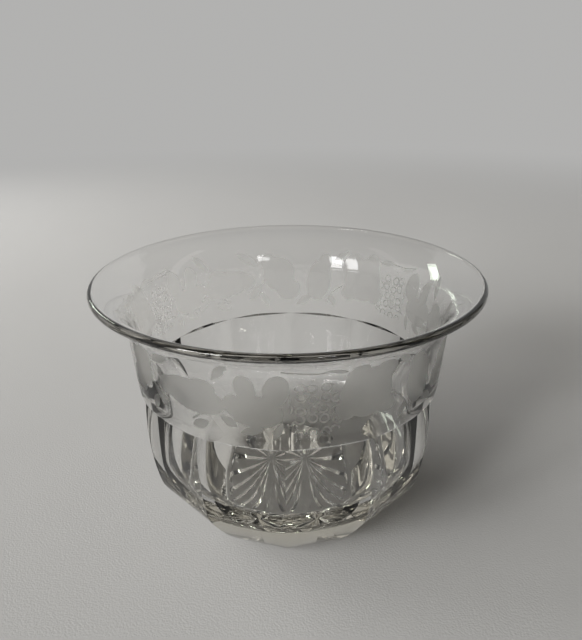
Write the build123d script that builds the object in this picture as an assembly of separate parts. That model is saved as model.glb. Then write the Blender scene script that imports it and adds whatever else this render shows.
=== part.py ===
from build123d import *
import os
from math import cos, pi, radians, sin, tan

# Finger bowl in clear glass, in millimetres. The origin is the middle of the base, and +Z is up.
# One ridge between two flutes faces -Y.

# Driving dimensions: outline of the fluted side, measured over the ridges between the flutes
base_diameter = 56.0
foot_slope = 41.0            # degrees from level, at which the side leaves the base
belly_diameter = 91.2        # at the turn of the side, before it is rounded
belly_height = 21.3
belly_slope = 75.0           # degrees from level, at which the upper side leaves the turn
belly_radius = 12.0
shoulder_diameter = 96.6     # at the top of the flutes

# Flutes: flat faces ground into the side
flute_count = 12
flute_height = 51.2          # top of each flat face
flute_bite = 0.6             # how far the ridges lie under the unground side
flute_step_slope = 18.0      # degrees from level, of the step that ends each flute
wall_foot_rise = 0.15        # from the top of the ridges to the foot of the plain wall

# Plain wall and lip
bowl_height = 84.3
rim_diameter = 120.0
lip_reach = 10.25            # how far the lip stands out from the top of the wall
lip_depth = 15.3             # how far the lip's flare begins under the rim
lip_thickness = 2.4
lip_slope = 30.0             # degrees from level, of the rounded edge
wall_thickness = 2.45        # at the top of the wall

# Cavity
floor_thickness = 16.1       # in the middle, over the plane that the bowl stands on
floor_rise = 4.2             # from the middle to the foot of the side, before it is rounded
floor_radius = 14.0          # between the floor and the side
belly_thickness = 1.7        # from the turn of the side to the corner of the cavity, both unrounded
shoulder_thickness = 3.7     # under the ridges, at the top of the flutes
shoulder_bend_radius = 40.0  # where the inside begins to widen

# Star cut under the recessed base
star_rays = 24
star_diameter = 50.0         # across the points of the rays
star_recess = 7.0            # height of the star's middle
star_button_diameter = 2.4   # round middle, where the rays start
star_land = 0.7              # glass left between two rays where they are widest
star_groove_angle = 116.0    # degrees, between the two sides of a ray
star_point_length = 1.5      # falling end of a ray, beyond its widest place
star_overcut = 0.5           # how far a ray's cutter reaches out of the glass, over its depth

flute_step = 360 / flute_count
face_share = cos(pi / flute_count)   # a flat face's distance from the axis, over its ridges' radius
wall_top = (rim_diameter / 2 - lip_reach, bowl_height - lip_depth)
wall_foot = (shoulder_diameter / 2, flute_height + wall_foot_rise)


def rounded(face, corner, radius):
    """The flat face with one of its corners rounded."""
    return fillet(face.vertices().sort_by_distance((corner[0], 0, corner[1]))[0], radius)


def heading(slope):
    """The direction that leaves a point at slope, in degrees from level."""
    return (cos(radians(slope)), sin(radians(slope)))


def side_line(share, grow, drop):
    """The fluted side's outline and its corners: share scales its radii, grow widens it, drop cuts it."""
    foot = ((base_diameter / 2 + grow) * share, 0)
    belly = ((belly_diameter / 2 + grow) * share, belly_height)
    shoulder = ((shoulder_diameter / 2 + grow) * share, flute_height - drop)
    line = TangentArc(foot, belly, tangent=heading(foot_slope))
    line += TangentArc(belly, shoulder, tangent=heading(belly_slope))
    return line, foot, belly, shoulder


def lip_line():
    """The lip from the top of the wall, over its rounded edge, to the inside, and where it ends."""
    half = lip_thickness / 2
    out, up = heading(lip_slope)
    middle = (rim_diameter / 2 - half, bowl_height - half)
    under = (middle[0] + half * up, middle[1] - half * out)
    tip = (middle[0] + half * out, middle[1] + half * up)
    over = (middle[0] - half * up, middle[1] + half * out)
    inside_top = (wall_top[0] - wall_thickness, wall_top[1])
    outer_lean = (wall_top[0] - wall_foot[0], wall_top[1] - wall_foot[1])
    bend = (shoulder_diameter / 2 - shoulder_thickness, flute_height)
    inner_lean = (inside_top[0] - bend[0], inside_top[1] - bend[1])
    line = TangentArc(wall_top, under, tangent=outer_lean)
    line += ThreePointArc(under, tip, over)
    line += TangentArc(inside_top, over, tangent=inner_lean)
    return line, inside_top, bend


def turned_bowl():
    """The bowl as it is turned, before its flutes are ground: side, wall, lip, cavity and recess."""
    side, foot, belly, shoulder = side_line(1, flute_bite, flute_bite - wall_foot_rise)
    lip, inside_top, bend = lip_line()
    corner = (belly_diameter / 2 - belly_thickness, floor_thickness + floor_rise)
    floor = TangentArc((0, floor_thickness), corner, tangent=(1, 0))
    wall = Polyline(shoulder, wall_foot, wall_top)
    inside = Polyline(inside_top, bend, corner)
    base = Polyline((0, floor_thickness), (0, star_recess), (star_diameter / 2, 0), foot)
    face = make_face(Plane.XZ * (side + wall + lip + inside + floor + base))
    face = rounded(face, belly, belly_radius)
    face = rounded(face, bend, shoulder_bend_radius)
    face = rounded(face, corner, floor_radius)
    return revolve(face, Axis.Z, 360)


def flute_cutter():
    """All the glass outside one flat face, up to the sloping step that ends the flute."""
    side, foot, belly, shoulder = side_line(face_share, 0, 0)
    outside = rim_diameter / 2
    step_top = (outside, flute_height + (outside - shoulder[0]) * tan(radians(flute_step_slope)))
    below = -floor_thickness
    face = make_face(Plane.XZ * (side + Polyline(shoulder, step_top, (outside, below), (foot[0], below), foot)))
    face = rounded(face, belly, belly_radius)
    return extrude(face, shoulder_diameter / 4, both=True)


def star_ray():
    """One V-shaped ray of the sloping recess: it widens from the middle, then falls to a point."""
    fall = 2 * star_recess / star_diameter
    start_at = star_button_diameter / 2
    wide_at = star_diameter / 2 - star_point_length
    half_width = wide_at * tan(pi / star_rays) - star_land / 2
    depth = half_width / tan(radians(star_groove_angle / 2))
    edge_height = star_recess - fall * wide_at
    reach = half_width * (1 + star_overcut)
    low = edge_height - depth * star_overcut
    widest = Polyline((wide_at, -reach, low), (wide_at, 0, edge_height + depth), (wide_at, reach, low), close=True)
    start = Vertex(start_at, 0, star_recess - fall * start_at)
    point = Vertex(star_diameter / 2, 0, 0)
    return loft([start, make_face(widest), point], ruled=True)


def bowl():
    glass = turned_bowl()
    for number in range(flute_count):
        glass -= Rot(0, 0, -90 + (number + 0.5) * flute_step) * flute_cutter()
    for number in range(star_rays):
        glass -= Rot(0, 0, (number + 0.5) * 360 / star_rays) * star_ray()
    return glass


os.makedirs("parts", exist_ok=True)
model = bowl()
model.label = "bowl"
export_step(model, "parts/bowl.step")
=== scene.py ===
from math import atan2, cos, pi, radians, sin, tan

import bmesh
import bpy
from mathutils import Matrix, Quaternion, Vector


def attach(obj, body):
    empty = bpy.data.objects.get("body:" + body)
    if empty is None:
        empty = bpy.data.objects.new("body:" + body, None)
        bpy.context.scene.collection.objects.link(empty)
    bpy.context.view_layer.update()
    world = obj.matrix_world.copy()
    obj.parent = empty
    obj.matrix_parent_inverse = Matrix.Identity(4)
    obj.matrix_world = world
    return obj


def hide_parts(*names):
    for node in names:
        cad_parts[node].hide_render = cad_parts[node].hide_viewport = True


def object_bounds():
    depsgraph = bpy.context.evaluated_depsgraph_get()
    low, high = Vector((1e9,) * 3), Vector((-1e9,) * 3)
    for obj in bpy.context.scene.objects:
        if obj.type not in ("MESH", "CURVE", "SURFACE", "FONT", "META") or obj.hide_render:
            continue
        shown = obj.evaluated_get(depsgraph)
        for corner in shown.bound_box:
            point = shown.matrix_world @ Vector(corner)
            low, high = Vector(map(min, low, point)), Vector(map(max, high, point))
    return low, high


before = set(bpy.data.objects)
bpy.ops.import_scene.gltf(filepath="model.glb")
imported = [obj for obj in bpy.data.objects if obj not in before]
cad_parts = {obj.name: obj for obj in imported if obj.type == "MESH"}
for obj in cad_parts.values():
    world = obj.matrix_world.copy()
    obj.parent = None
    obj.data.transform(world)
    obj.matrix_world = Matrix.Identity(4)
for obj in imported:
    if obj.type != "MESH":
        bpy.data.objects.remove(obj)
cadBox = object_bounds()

mm = 0.001
rimRadius = cadBox[1][0]
bowlHeight = cadBox[1][2]


# Small helpers for modelling

def startEmpty():
    bpy.ops.object.select_all(action="DESELECT")


def editMesh():
    return bmesh.from_edit_mesh(bpy.context.object.data)


def selectVerts(test):
    # in edit mode, selects the vertices that pass the test
    bpy.ops.mesh.select_mode(type="VERT")
    for vert in editMesh().verts:
        vert.select_set(test(vert))
    editMesh().select_flush_mode()
    bmesh.update_edit_mesh(bpy.context.object.data)


def selectEdges(test):
    bpy.ops.mesh.select_mode(type="EDGE")
    for edge in editMesh().edges:
        edge.select_set(test(edge))
    editMesh().select_flush_mode()
    bmesh.update_edit_mesh(bpy.context.object.data)


def growRings(start, rings):
    # extrudes the selected ring of edges through (radius, height) pairs
    here = start
    for ring in rings:
        bpy.ops.mesh.extrude_edges_move(TRANSFORM_OT_translate={"value": (0, 0, ring[1] - here[1])})
        grow = ring[0] / here[0]
        bpy.ops.transform.resize(value=(grow, grow, 1), center_override=(0, 0, 0))
        here = ring


def arcPoints(start, end, startAngle, steps):
    # the arc that leaves start at startAngle, in radians from level, and ends at end; start is left out
    chord = Vector(end) - Vector(start)
    turn = 2 * (atan2(chord.y, chord.x) - startAngle)
    bend = chord.length / (2 * sin(turn / 2))
    middle = Vector(start) + Vector((-sin(startAngle), cos(startAngle))) * bend
    angles = [startAngle + turn * k / steps for k in range(1, steps + 1)]
    return [(middle.x + bend * sin(angle), middle.y - bend * cos(angle)) for angle in angles]


def roundedCorner(before, corner, after, radius, steps):
    # the points of the arc that rounds a corner between two straight lines
    back = (Vector(before) - Vector(corner)).normalized()
    ahead = (Vector(after) - Vector(corner)).normalized()
    reach = radius / tan(back.angle(ahead) / 2)
    first = Vector(corner) + back * reach
    return [tuple(first)] + arcPoints(first, Vector(corner) + ahead * reach, atan2(-back.y, -back.x), steps)


def straight(start, end, steps):
    return [tuple(Vector(start).lerp(Vector(end), k / steps)) for k in range(1, steps + 1)]


# The bowl

bowlShape = {
    "columns": 96,                        # faces round the side
    "flutes": 12,
    "footRadius": 28.0 * mm,              # over the ridges between the flutes
    "footSlope": radians(41),
    "belly": (45.6 * mm, 21.3 * mm),
    "bellySlope": radians(75),
    "bellyRounding": 12 * mm,
    "fluteTop": (48.3 * mm, 51.2 * mm),
    "stepSlope": radians(18),             # of the step that ends each flute
    "wallFoot": (48.3 * mm, 51.35 * mm),
    "wallTop": (49.75 * mm, 69 * mm),
    "lipThickness": 2.4 * mm,
    "lipSlope": radians(30),
    "insideTop": (47.3 * mm, 69 * mm),
    "insideBend": (44.6 * mm, 51.2 * mm),
    "bendRounding": 40 * mm,
    "floorCorner": (43.9 * mm, 20.3 * mm),
    "floorRounding": 14 * mm,
    "floorHeight": 16.1 * mm,
    "arcSteps": 10,                       # parts of a long curve
    "bellySteps": 4,
    "wallSteps": 5,
    "beadSteps": 8,
    "insideSteps": 3,
    "floorTurnSteps": 8,
    "mergeWithin": 0.01 * mm,
    "sharpFrom": radians(14),             # edges that turn more than this stay sharp
}

starShape = {
    "rays": 24,
    "radius": 25 * mm,
    "recess": 7 * mm,                     # height of the star's middle
    "button": 1.2 * mm,
    "pointLength": 1.5 * mm,
    "land": 0.7 * mm,                     # glass left between two rays where they are widest
    "columnsPerRay": 8,
    "grooveAngle": radians(116),
    "ringsPerRay": 4,
    "ringWidth": 0.05 * mm,               # how far from its radius a vertex may lie
}


def leanOf(low, high):
    return atan2(high[1] - low[1], high[0] - low[0])


def lipLine(shape):
    # rings from the plain wall's foot over the rounded edge to the top of the inside
    slope = shape["lipSlope"]
    half = shape["lipThickness"] / 2
    edge = Vector((rimRadius - half, bowlHeight - half))
    across = Vector((-sin(slope), cos(slope))) * half
    steps, around = shape["arcSteps"], shape["beadSteps"]
    outside = arcPoints(shape["wallTop"], edge - across, leanOf(shape["wallFoot"], shape["wallTop"]), steps)
    lean = leanOf(shape["insideBend"], shape["insideTop"])
    inside = arcPoints(shape["insideTop"], edge + across, lean, steps)
    turns = [slope - pi / 2 + pi * k / around for k in range(1, around)]
    bead = [(edge.x + half * cos(turn), edge.y + half * sin(turn)) for turn in turns]
    wall = straight(shape["wallFoot"], shape["wallTop"], shape["wallSteps"])
    return wall + outside + bead + inside[::-1] + [shape["insideTop"]]


def makeBowl():
    s = bowlShape
    flute = 2 * pi / s["flutes"]
    column = 2 * pi / s["columns"]
    foot = (s["footRadius"], 0)
    steps, few = s["arcSteps"], s["insideSteps"]
    lower = arcPoints(foot, s["belly"], s["footSlope"], steps)
    upper = arcPoints(s["belly"], s["fluteTop"], s["bellySlope"], steps)
    bend = roundedCorner(lower[-2], s["belly"], upper[0], s["bellyRounding"], s["bellySteps"])
    side = [point for point in lower if point[1] < bend[0][1]] + bend
    side += [point for point in upper if point[1] > bend[-1][1]]
    lip = lipLine(s)
    floorStart = (starShape["button"], s["floorHeight"])
    floor = arcPoints((0, s["floorHeight"]), s["floorCorner"], 0, steps)
    bend = roundedCorner(lip[-1], s["insideBend"], s["floorCorner"], s["bendRounding"], few)
    turn = roundedCorner(
        s["insideBend"], s["floorCorner"], floor[-2], s["floorRounding"], s["floorTurnSteps"])
    inside = straight(lip[-1], bend[0], few)[:-1] + bend + straight(bend[-1], turn[0], few)[:-1] + turn
    floor = [point for point in floor[::-1] if point[0] < turn[-1][0]]

    startEmpty()
    bpy.ops.mesh.primitive_circle_add(vertices=s["columns"], radius=foot[0], fill_type="NOTHING")
    bpy.ops.object.mode_set(mode="EDIT")
    bpy.ops.mesh.select_mode(type="EDGE")
    bpy.ops.mesh.select_all(action="SELECT")
    rings = side + [s["fluteTop"], s["wallFoot"]] + lip + inside + floor
    growRings(foot, rings + [floorStart])
    bpy.ops.mesh.edge_face_add()
    editMesh().verts.index_update()

    # flat faces: each column of the fluted part is drawn in by how far it is from a ridge
    topRing = len(side)
    facePart = cos(flute / 2)
    stepRise = tan(s["stepSlope"])

    def offMiddle(vert):
        angle = atan2(vert.co.x, -vert.co.y) % flute
        return round(abs(angle - flute / 2) / column)

    def ringOf(vert):
        return vert.index // s["columns"]

    ridge = round(flute / 2 / column)
    for away in range(ridge + 1):
        part = facePart / cos(away * column)
        selectVerts(lambda vert: ringOf(vert) <= topRing and offMiddle(vert) == away)
        bpy.ops.transform.resize(value=(part, part, 1), center_override=(0, 0, 0))
        outOfFace = s["fluteTop"][0] * (cos(away * column) - facePart)
        rise = max(s["fluteTop"][1] + outOfFace * stepRise - s["wallFoot"][1], 0)
        selectVerts(lambda vert: ringOf(vert) == topRing + 1 and offMiddle(vert) == away)
        bpy.ops.transform.translate(value=(0, 0, rise))

    def sharp(edge):
        one, two = edge.verts
        span = {ringOf(one), ringOf(two)}
        if len(span) == 1:
            return span <= {0, topRing, topRing + 1}
        return max(span) <= topRing and offMiddle(one) == offMiddle(two) == ridge

    selectEdges(sharp)
    bpy.ops.transform.edge_crease(value=1)
    bpy.ops.object.mode_set(mode="OBJECT")
    bowl = bpy.context.object
    smooth = bowl.modifiers.new("smooth", "SUBSURF")
    smooth.levels = smooth.render_levels = 1
    bpy.ops.object.modifier_apply(modifier="smooth")

    bpy.ops.object.mode_set(mode="EDIT")
    cutStar(s["footRadius"])
    bpy.ops.mesh.select_all(action="SELECT")
    bpy.ops.mesh.remove_doubles(threshold=s["mergeWithin"])
    bpy.ops.mesh.normals_make_consistent(inside=False)
    bpy.ops.object.mode_set(mode="OBJECT")
    bpy.ops.object.shade_smooth_by_angle(angle=s["sharpFrom"])
    bowl.name = bowl.data.name = "glassBowl"
    return bowl


def cutStar(footRadius):
    # in edit mode, grows the recess inward from the foot and raises its rays
    s = starShape
    step = 2 * pi / s["rays"]
    column = step / s["columnsPerRay"]
    wide = s["radius"] - s["pointLength"]
    half = wide * tan(step / 2) - s["land"] / 2
    depth = half / tan(s["grooveAngle"] / 2)
    edge = half / wide
    fall = s["recess"] / s["radius"]
    selectEdges(lambda e: e.is_boundary)
    growRings((footRadius, 0), [(s["radius"], 0)])
    bpy.ops.transform.tosphere(value=1)
    grow = s["radius"] / next(v.co.xy.length for v in editMesh().verts if v.select)
    bpy.ops.transform.resize(value=(grow, grow, 1), center_override=(0, 0, 0))
    rings = s["ringsPerRay"]
    radii = [wide + (s["button"] - wide) * k / rings for k in range(rings + 1)]
    growRings((s["radius"], 0), [(r, s["recess"] - fall * r) for r in radii])
    bpy.ops.mesh.edge_face_add()

    def fromRay(vert):
        return (atan2(vert.co.y, vert.co.x) / step % 1 - 0.5) * step

    def columnOf(vert):
        return round(fromRay(vert) / column)

    def inRing(vert, radius):
        return abs(vert.co.xy.length - radius) < s["ringWidth"] and vert.co.z < s["recess"] + s["ringWidth"]

    outer = s["columnsPerRay"] // 2 - 1
    for side in (-1, 1):
        selectVerts(lambda v: columnOf(v) == outer * side and any(inRing(v, r) for r in radii[:-1]))
        turn = -side * (edge - outer * column)
        bpy.ops.transform.rotate(value=turn, orient_axis="Z", center_override=(0, 0, 0))
    for radius in radii[:-1]:
        for away in range(outer):
            rise = depth * (radius - s["button"]) / (wide - s["button"]) * (1 - away * column / edge)
            selectVerts(lambda v: abs(columnOf(v)) == away and inRing(v, radius))
            bpy.ops.transform.translate(value=(0, 0, rise))


# Materials

class Wire:
    # one socket of a material; an expression on wires adds its Math nodes
    def __init__(self, tree, socket=None):
        self.tree = tree
        self.socket = socket

    def add(self, kind, settings={}, inputs={}, output=0):
        node = self.tree.nodes.new("ShaderNode" + kind)
        for name, setting in settings.items():
            setattr(node, name, setting)
        for name, given in inputs.items():
            if isinstance(given, Wire):
                self.tree.links.new(given.socket, node.inputs[name])
            else:
                node.inputs[name].default_value = given
        return None if output is None else Wire(self.tree, node.outputs[output])

    def other(self, output):
        return Wire(self.tree, self.socket.node.outputs[output])

    def sum(self, operation, *terms):
        return self.add("Math", {"operation": operation}, dict(enumerate(terms)))

    def __add__(self, other):
        return self.sum("ADD", self, other)

    def __sub__(self, other):
        return self.sum("SUBTRACT", self, other)

    def __rsub__(self, other):
        return self.sum("SUBTRACT", other, self)

    def __mul__(self, other):
        return self.sum("MULTIPLY", self, other)

    def __truediv__(self, other):
        return self.sum("DIVIDE", self, other)

    def __abs__(self):
        return self.sum("ABSOLUTE", self)

    __radd__ = __add__
    __rmul__ = __mul__

    def larger(self, other):
        return self.sum("MAXIMUM", self, other)

    def smaller(self, other):
        return self.sum("MINIMUM", self, other)

    def fade(self, low, high):
        # 0 below low, 1 above high
        return self.add("MapRange", {"interpolation_type": "SMOOTHSTEP"},
                        {"Value": self, "From Min": low, "From Max": high})


def newMaterial(name):
    material = bpy.data.materials.new(name)
    material.use_nodes = True
    material.node_tree.nodes.clear()
    return material, Wire(material.node_tree)


frieze = {
    "repeats": 3,                         # times round the wall
    "radius": 49.5,                       # of the wall, all in millimetres
    "top": 78,
    "bottom": 54,
    "edge": 0.35,                         # softness of an outline
    "endFade": 1,                         # softness of the frieze's upper and lower end
    "wallFade": 0.1,                      # softness from the inside to the outside of the wall
    "wander": 1.2,                        # how far the hand strays
    "wanderScale": 160.0,
    "stemHalf": 0.45,
    "bunch": (((7.6, 66), (6.6, 7.4)), ((8.5, 59), (8, 3))),
    "grapeScale": 0.3,
    "grapeSpread": 0.35,
    "grapeRing": 0.36,                    # radius of a ring and half its line, as shares of a grape's cell
    "grapeLine": 0.12,
    "ringSharpness": 6,
    "footOfWall": 51.2,
    "middleOfWall": 46.45,                # radius halfway through the glass at the foot of the wall
    "leanOfWall": 0.117,
    "roughness": 0.42,
    "frost": 0.10,                        # share of pale scatter on an etched place
}

# (along, up), (half length, half width), tilt in degrees
leafLobes = [
    ((-47, 67), (6.5, 6.5), 20), ((-43.5, 71), (4.2, 3.2), 60), ((-51, 61), (5, 4), -20),
    ((56.67, 67), (6.5, 6.5), 20), ((52.67, 61), (5, 4), -20),
    ((-25.4, 64.9), (10.2, 5.2), -6), ((-21.8, 68), (4.4, 3.1), 0), ((-33.5, 65.5), (4.5, 3.2), 25),
    ((-7.4, 63), (7.4, 5), 0), ((-9.8, 69.9), (3, 4.8), 8), ((-2, 70), (3.7, 5.1), -8),
    ((-13.2, 64.6), (3, 3.4), 0),
    ((22, 67), (8, 8), 0), ((18.5, 72.5), (3.2, 4.4), -20), ((26, 72), (4.5, 4), 25),
    ((16.5, 63), (3.4, 3.6), 0), ((27.5, 62), (3.6, 3.2), -30),
    ((40.5, 65), (5.2, 8), 10), ((38, 72), (3, 3), 0),
]
blades = [
    ((-35.2, 73.2), (5, 1.6), 28), ((-37.5, 60.5), (4.2, 1.7), -48), ((-41, 57.5), (3.6, 1.5), 60),
    ((-16, 74.2), (4.4, 1.4), 52), ((-23.5, 56.8), (3.4, 1.7), 25), ((-14.8, 59.5), (3.2, 1.6), -35),
    ((-8.5, 57), (3.4, 1.5), 15), ((-1.8, 57.5), (3.4, 1.3), 70), ((32, 74.6), (3.4, 1.2), -35),
    ((34.6, 57.6), (3, 1.4), 65), ((46.5, 57), (4.2, 1.6), -30), ((12.8, 75), (3.6, 1), -8),
]
stems = [
    ((-31, 74), (14, 14), (-37.8, 62.5), (4, 6)), ((-18, 48), (12, 13), (-20, 60), (9, 3.5)),
    ((8, 88), (20, 13), (5.5, 75.3), (8, 2)), ((22, 52), (16, 14), (34, 61), (4.5, 7)),
]


def oval(place, centre, size, tilt=0):
    # millimetres inside an oval's outline, below 0 outside
    local = place.add("Mapping", {"vector_type": "TEXTURE"}, {
        "Vector": place, "Location": (*centre, 0), "Rotation": (0, 0, radians(tilt)), "Scale": (*size, 1)})
    reach = local.add("VectorMath", {"operation": "LENGTH"}, {0: local}, "Value")
    return (1 - reach) * min(size)


def blade(place, centre, size, tilt):
    # the same for a leaf that is pointed at both ends
    local = place.add("Mapping", {"vector_type": "TEXTURE"}, {
        "Vector": place, "Location": (*centre, 0), "Rotation": (0, 0, radians(tilt)), "Scale": (*size, 1)})
    split = local.add("SeparateXYZ", {}, {0: local})
    x = split.other("X")
    return (1 - x * x - abs(split.other("Y"))) * min(size)


def etchedVine(start):
    # how far a place of the outer wall is etched, and its height in millimetres
    f = frieze
    place = start.add("TexCoord", {}, {}, "Object")
    split = place.add("SeparateXYZ", {}, {0: place})
    x, y, z = split.other("X"), split.other("Y"), split.other("Z")
    turn = place.sum("ARCTAN2", x, 0 - y) * (f["repeats"] / (2 * pi))
    along = (turn - place.sum("ROUND", turn)) * (2 * pi * f["radius"] / f["repeats"])
    up = z / mm
    stray = place.add("TexNoise", {}, {"Vector": place, "Scale": f["wanderScale"], "Detail": 1.0}, "Color")
    split = stray.add("SeparateXYZ", {}, {0: stray})
    strayAlong = (split.other("X") - 0.5) * f["wander"]
    strayUp = (split.other("Y") - 0.5) * f["wander"]
    flat = place.add("CombineXYZ", {}, {"X": along + strayAlong, "Y": up + strayUp})

    leaves = oval(flat, *leafLobes[0])
    for lobe in leafLobes[1:]:
        leaves = leaves.larger(oval(flat, *lobe))
    for leaf in blades:
        leaves = leaves.larger(blade(flat, *leaf))
    for centre, size, window, reach in stems:
        line = f["stemHalf"] - abs(oval(flat, centre, size))
        leaves = leaves.larger(line.smaller(oval(flat, window, reach)))
    bunch = oval(flat, *f["bunch"][0]).larger(oval(flat, *f["bunch"][1]))
    grape = flat.add("TexVoronoi", {"voronoi_dimensions": "2D"},
                     {"Vector": flat, "Scale": f["grapeScale"], "Randomness": f["grapeSpread"]}, "Distance")
    ring = (f["grapeLine"] - abs(grape - f["grapeRing"])) * f["ringSharpness"]
    grapes = ring.smaller(bunch)

    radius = place.sum("SQRT", x * x + y * y) / mm
    middleOfWall = f["middleOfWall"] + (up - f["footOfWall"]) * f["leanOfWall"]
    outside = (radius - middleOfWall).fade(0, f["wallFade"])
    band = up.fade(f["bottom"] - f["endFade"], f["bottom"]) * (1 - up.fade(f["top"] - f["endFade"], f["top"]))
    etched = leaves.larger(grapes).fade(0, f["edge"]) * (outside * band)
    return etched, up


glass = {
    "bending": 1.52,                      # index of refraction
    "flowScale": 38.0,                    # slow waves of the surface
    "flowDepth": 0.0002,
    "wearScale": 350.0,                   # dull marks on the ring that the bowl stands on
    "wearHeight": (0.1, 0.7),             # in millimetres, where they fade out
    "wearShare": (0.45, 0.6),
    "wearRoughness": 0.15,
    "etchedTone": (0.93, 0.93, 0.92, 1),
    "scatter": (0.6, 0.59, 0.57, 1),
    "shade": (0.26, 0.25, 0.235, 1),      # of the light that one surface lets through to the cloth
    "tint": (0.81, 0.785, 0.71, 1),
    "tintDensity": 25.0,
}


def clearGlass():
    material, start = newMaterial("clearGlass")
    g = glass
    etched, up = etchedVine(start)
    place = start.add("TexCoord", {}, {}, "Object")
    flow = place.add("TexNoise", {}, {"Vector": place, "Scale": g["flowScale"], "Detail": 0.0})
    marks = place.add("TexNoise", {}, {"Vector": place, "Scale": g["wearScale"], "Detail": 2.0})
    wear = (1 - up.fade(*g["wearHeight"])) * marks.fade(*g["wearShare"])
    bump = flow.add("Bump", {}, {"Height": flow, "Distance": g["flowDepth"], "Strength": 1.0})
    tones = {"Factor": etched, 6: (1, 1, 1, 1), 7: g["etchedTone"]}
    tone = etched.add("Mix", {"data_type": "RGBA"}, tones, 2)
    roughness = etched * frieze["roughness"] + wear * g["wearRoughness"]
    clear = start.add("BsdfPrincipled", {}, {
        "Base Color": tone, "Roughness": roughness, "Normal": bump,
        "IOR": g["bending"], "Transmission Weight": 1.0})
    pale = start.add("BsdfTranslucent", {}, {"Color": g["scatter"]})
    frosted = start.add("MixShader", {}, {0: etched * frieze["frost"], 1: clear, 2: pale})
    shadow = start.add("LightPath", {}, {}, "Is Shadow Ray")
    passing = start.add("BsdfTransparent", {}, {"Color": g["shade"]})
    surface = start.add("MixShader", {}, {0: shadow, 1: frosted, 2: passing})
    tint = start.add("VolumeAbsorption", {}, {"Color": g["tint"], "Density": g["tintDensity"]})
    start.add("OutputMaterial", {"target": "ALL"}, {"Surface": surface, "Volume": tint}, None)
    return material


cloth = {
    "color": (0.44, 0.437, 0.43, 1),
    "roughness": 0.6,
    "farTone": (1, 0.995, 0.98, 1),
    "farGlow": 0.445,
    "farFrom": (0.30, 1.0),               # where the cloth's shading gives way to the even far tone
    "weaveScale": 1500.0,
    "weaveDepth": 0.05,                   # as a share of the folds' depth
    "foldScale": 7.0,
    "foldDepth": 0.004,
    "foldStrength": 0.4,
    "gap": 0.3 * mm,                      # air under the ground foot, so that it mirrors as glass does
}


def paleCloth():
    material, start = newMaterial("paleCloth")
    c = cloth
    place = start.add("TexCoord", {}, {}, "Object")
    weave = place.add("TexNoise", {}, {"Vector": place, "Scale": c["weaveScale"], "Detail": 1.0})
    folds = place.add("TexNoise", {}, {"Vector": place, "Scale": c["foldScale"], "Detail": 2.0})
    height = weave * c["weaveDepth"] + folds
    bump = height.add("Bump", {}, {
        "Height": height, "Distance": c["foldDepth"], "Strength": c["foldStrength"]})
    near = start.add("BsdfDiffuse", {}, {"Color": c["color"], "Roughness": c["roughness"], "Normal": bump})
    far = start.add("Emission", {}, {"Color": c["farTone"], "Strength": c["farGlow"]})
    reach = place.add("VectorMath", {"operation": "LENGTH"}, {0: place}, "Value")
    surface = start.add("MixShader", {}, {0: reach.fade(*c["farFrom"]), 1: near, 2: far})
    start.add("OutputMaterial", {"target": "ALL"}, {"Surface": surface}, None)
    return material


backdrop = {
    "size": 6,
    "height": 3,
    "rounding": 1.4,
    "roundingSteps": 24,
}


def makeFloor():
    startEmpty()
    bpy.ops.mesh.primitive_plane_add(size=backdrop["size"], location=(0, 0, -cloth["gap"]))
    bpy.ops.object.mode_set(mode="EDIT")
    far = backdrop["size"] / 3
    selectEdges(lambda e: all(v.co.y > far for v in e.verts))
    bpy.ops.mesh.extrude_edges_move(TRANSFORM_OT_translate={"value": (0, 0, backdrop["height"])})
    selectEdges(lambda e: all(v.co.y > far and abs(v.co.z) < backdrop["height"] / 2 for v in e.verts))
    bpy.ops.mesh.bevel(offset=backdrop["rounding"], segments=backdrop["roundingSteps"], affect="EDGES")
    bpy.ops.object.mode_set(mode="OBJECT")
    bpy.ops.object.shade_smooth()
    floor = bpy.context.object
    floor.name = floor.data.name = "floor"
    floor.data.materials.append(paleCloth())


warm = (1, 0.99, 0.97)
light = {
    "world": (0.108, 0.104, 0.095, 1),
    "aim": (0, 0, 0.05),
    # place, size, power, color, and whether it shows in reflections and through glass and lights the cloth
    "lamps": {
        "windowLeftPane": ((-1.45, -1.05, 0.75), (0.30, 0.75), 7, (1, 1, 1), True, True, True),
        "windowRightPane": ((-1.12, -1.35, 0.75), (0.30, 0.75), 7, (1, 1, 1), True, True, True),
        "windowSmall": ((0.65, -1.6, 1.0), (0.3, 0.3), 2.2, (1, 1, 1), True, True, False),
        "windowBack": ((-1.3, 1.35, 0.9), (0.3, 0.65), 4, (0.9, 1, 0.86), True, True, False),
        "keyFront": ((-0.64, -0.46, 0.27), (0.7, 0.4), 7.9, warm, False, False, True),
        "keyBack": ((-0.72, 0.30, 0.32), (0.7, 0.45), 7.2, warm, False, False, True),
        "glowLeft": ((-1.31, 0.0, 0.5), (2.2, 0.7), 2.5, warm, True, True, True),
        "stripLeft": ((-1.25, 0.1, 1.0), (0.22, 1.3), 0.6, warm, False, True, False),
        "stripRight": ((1.25, 0.2, 0.95), (0.22, 1.3), 0.8, warm, False, True, False),
    },
}


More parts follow.
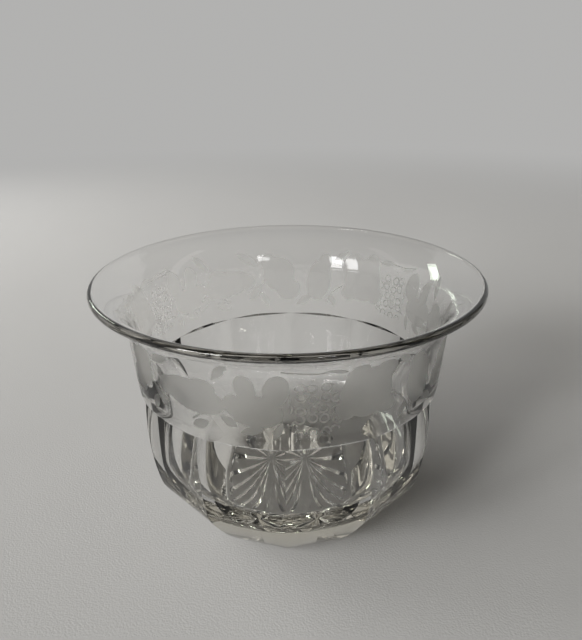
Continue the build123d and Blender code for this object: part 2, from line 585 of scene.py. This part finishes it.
def addLamp(name, place, size, power, color, shines, through, onCloth):
    startEmpty()
    bpy.ops.object.light_add(type="AREA", location=place)
    lamp = bpy.context.object
    lamp.name = name
    lamp.data.shape = "RECTANGLE"
    lamp.data.size, lamp.data.size_y = size
    lamp.data.energy = power
    lamp.data.color = color
    lamp.rotation_euler = (Vector(light["aim"]) - Vector(place)).to_track_quat("-Z", "Y").to_euler()
    lamp.visible_glossy = shines
    lamp.visible_transmission = through
    lamp.visible_diffuse = onCloth


def makeLight():
    world = bpy.data.worlds.new("room")
    bpy.context.scene.world = world
    world.use_nodes = True
    world.node_tree.nodes["Background"].inputs["Color"].default_value = light["world"]
    for name, lamp in light["lamps"].items():
        addLamp(name, *lamp)


view = {
    "distance": 183.15 * mm,              # of the camera from the bowl's axis
    "height": 144.5 * mm,
    "round": 1.456,                       # all turns in degrees
    "pitch": 22.70,
    "yaw": 0.287,
    "roll": -0.555,
    "lens": 34.83,
    "sensor": 36,
    "nearest": 10 * mm,
}


def makeCamera():
    data = bpy.data.cameras.new("camera")
    camera = bpy.data.objects.new("camera", data)
    bpy.context.scene.collection.objects.link(camera)
    data.sensor_width = view["sensor"]
    data.lens = view["lens"]
    data.clip_start = view["nearest"]
    aside = radians(view["round"])
    camera.location = (view["distance"] * sin(aside), -view["distance"] * cos(aside), view["height"])
    pitch, heading = radians(view["pitch"]), radians(view["yaw"]) - aside
    ahead = Vector((sin(heading) * cos(pitch), cos(heading) * cos(pitch), -sin(pitch)))
    turn = ahead.to_track_quat("-Z", "Y") @ Quaternion((0, 0, 1), radians(view["roll"]))
    camera.rotation_euler = turn.to_euler()
    bpy.context.scene.camera = camera


makeCamera()
makeLight()
print("camera and lamps are in place")
makeFloor()
print("floor is laid")
bowl = makeBowl()
print("bowl is modelled")
bowl.data.materials.clear()
bowl.data.materials.append(clearGlass())
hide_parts("bowl")
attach(bowl, "root")
print("bowl is glazed, triangles:", sum(len(p.vertices) - 2 for p in bowl.data.polygons))

bpy.context.scene.view_settings.view_transform = "Standard"
